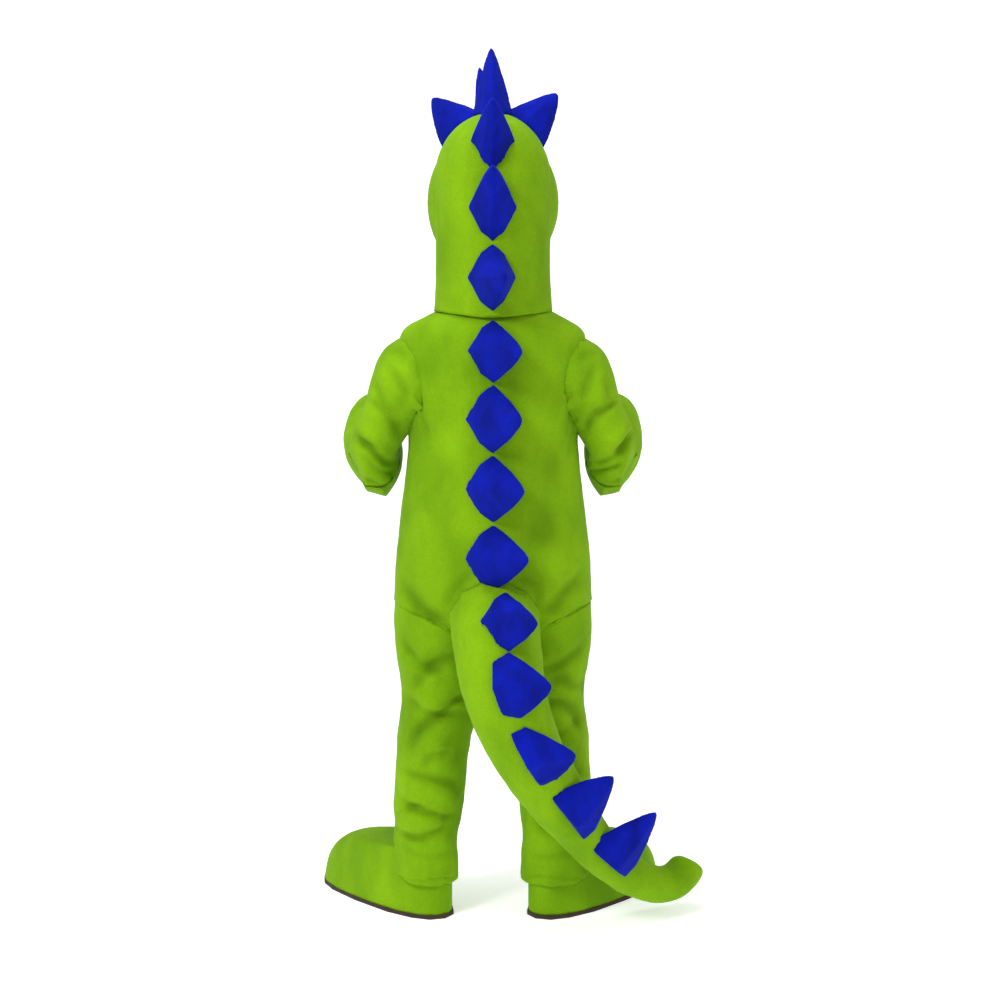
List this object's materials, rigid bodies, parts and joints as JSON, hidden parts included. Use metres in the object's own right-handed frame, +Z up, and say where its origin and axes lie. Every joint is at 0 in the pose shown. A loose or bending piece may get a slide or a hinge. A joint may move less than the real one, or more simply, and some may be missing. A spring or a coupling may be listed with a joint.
{
  "type": "dinosaur mascot costume",
  "caption": "Hollow plush dinosaur mascot costume with a hood head, spikes down the back, a stuffed tail and soft boots, in its worn form.",
  "frame": {"origin": "between the shoulders, at the height where the costume rests on its wearer", "axes": "+Z up, the costume's front faces -Y, +X is the wearer's left"},
  "size_m": [0.9156, 0.6626, 1.9975],
  "materials": {
    "green_plush": "short plush",
    "blue_plush": "short plush",
    "sole": "matt"
  },
  "bodies": {
    "root": {"back": "green_plush", "boot_left": "green_plush", "boot_right": "green_plush", "front_left": "green_plush", "front_placket": "green_plush", "front_right": "green_plush", "head_back": "green_plush", "head_face": "green_plush", "horn_left": "blue_plush", "horn_right": "blue_plush", "leg_left": "green_plush", "leg_right": "green_plush", "sleeve_lower_left": "green_plush", "sleeve_lower_right": "green_plush", "sleeve_upper_left": "green_plush", "sleeve_upper_right": "green_plush", "sole_left": "sole", "sole_right": "sole", "spike_00": "blue_plush", "spike_01": "blue_plush", "spike_02": "blue_plush", "spike_03": "blue_plush", "spike_04": "blue_plush", "spike_05": "blue_plush", "spike_06": "blue_plush", "spike_07": "blue_plush", "spike_08": "blue_plush", "spike_09": "blue_plush", "spike_10": "blue_plush", "spike_11": "blue_plush", "spike_12": "blue_plush", "spike_13": "blue_plush", "tail": "green_plush"}
  },
  "joints": []
}
